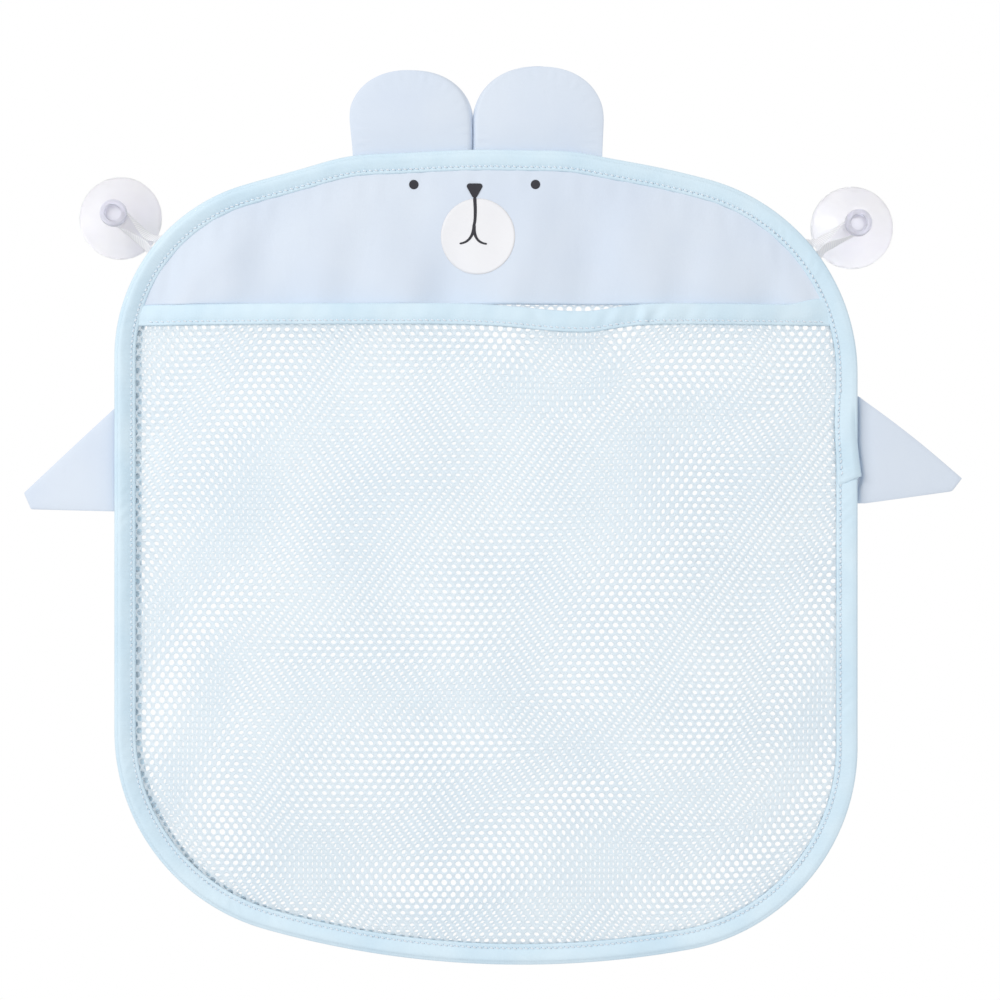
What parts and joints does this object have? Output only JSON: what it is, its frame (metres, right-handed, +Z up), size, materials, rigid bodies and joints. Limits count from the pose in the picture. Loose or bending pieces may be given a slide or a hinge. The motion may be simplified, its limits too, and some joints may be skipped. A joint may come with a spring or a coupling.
{
  "type": "bath toy organizer",
  "caption": "Wall-hung net pocket for bath toys, with a padded-eared animal head panel, taped edge and mouth, fabric hands and ribbon loops on clear suction cups.",
  "frame": {"origin": "on the wall, midway between the centres of the two suction cups", "axes": "+X to the right as seen from the front, +Y back into the wall, +Z up"},
  "size_m": [0.4585, 0.0373, 0.4366],
  "materials": {
    "net": "matte",
    "periwinkle_cloth": "matte",
    "binding_tape": "satin",
    "wadding": "matte",
    "ribbon": "satin",
    "white_film": "matte",
    "black_film": "matte",
    "clear_pvc": "gloss"
  },
  "bodies": {
    "bag": {"back_net": "net", "front_net": "net", "head_panel": "periwinkle_cloth", "edge_binding": "binding_tape", "mouth_binding": "binding_tape", "muzzle": "white_film", "nose": "black_film", "mouth_line": "black_film", "left_eye": "black_film", "right_eye": "black_film", "left_ear_base": "periwinkle_cloth", "right_ear_base": "periwinkle_cloth", "left_hand_base": "periwinkle_cloth", "right_hand_base": "periwinkle_cloth", "left_loop_tail": "ribbon", "right_loop_tail": "ribbon"},
    "left_ear": {"left_ear_front": "periwinkle_cloth", "left_ear_back": "periwinkle_cloth", "left_ear_wadding": "wadding"},
    "right_ear": {"right_ear_front": "periwinkle_cloth", "right_ear_back": "periwinkle_cloth", "right_ear_wadding": "wadding"},
    "left_hand": {"left_hand_front": "periwinkle_cloth", "left_hand_back": "periwinkle_cloth"},
    "right_hand": {"right_hand_front": "periwinkle_cloth", "right_hand_back": "periwinkle_cloth"},
    "left_ribbon": {"left_loop": "ribbon"},
    "right_ribbon": {"right_loop": "ribbon"},
    "left_cup": {"left_suction_cup": "clear_pvc"},
    "right_cup": {"right_suction_cup": "clear_pvc"}
  },
  "joints": [
    {"name": "left_ear_fold", "type": "hinge", "parent": "bag", "child": "left_ear", "pos_m": [-0.03695, -0.01325, 0.0356], "axis": [1, 0, 0], "range_deg": [-30, 80], "stiffness_Nm_per_rad": 0.02},
    {"name": "right_ear_fold", "type": "hinge", "parent": "bag", "child": "right_ear", "pos_m": [0.02585, -0.01325, 0.0356], "axis": [1, 0, 0], "range_deg": [-30, 80], "stiffness_Nm_per_rad": 0.02},
    {"name": "left_hand_fold", "type": "hinge", "parent": "bag", "child": "left_hand", "pos_m": [-0.1814, -0.01325, -0.1172], "axis": [0, 0, 1], "range_deg": [-30, 80], "stiffness_Nm_per_rad": 0.01},
    {"name": "right_hand_fold", "type": "hinge", "parent": "bag", "child": "right_hand", "pos_m": [0.1844, -0.01325, -0.1133], "axis": [0, 0, -1], "range_deg": [-30, 80], "stiffness_Nm_per_rad": 0.01},
    {"name": "left_loop_fold", "type": "hinge", "parent": "bag", "child": "left_ribbon", "pos_m": [-0.16111, -0.01325, -0.01001], "axis": [0.5417, 0, 0.8406], "range_deg": [-40, 75], "stiffness_Nm_per_rad": 0.015},
    {"name": "right_loop_fold", "type": "hinge", "parent": "bag", "child": "right_ribbon", "pos_m": [0.16079, -0.01325, -0.01402], "axis": [0.5132, 0, -0.8583], "range_deg": [-40, 75], "stiffness_Nm_per_rad": 0.015},
    {"name": "left_cup_swivel", "type": "hinge", "parent": "left_ribbon", "child": "left_cup", "pos_m": [-0.1803, -0.01325, 0.00235], "axis": [0, 1, 0], "continuous": true},
    {"name": "right_cup_swivel", "type": "hinge", "parent": "right_ribbon", "child": "right_cup", "pos_m": [0.1803, -0.01325, -0.00235], "axis": [0, 1, 0], "continuous": true}
  ]
}
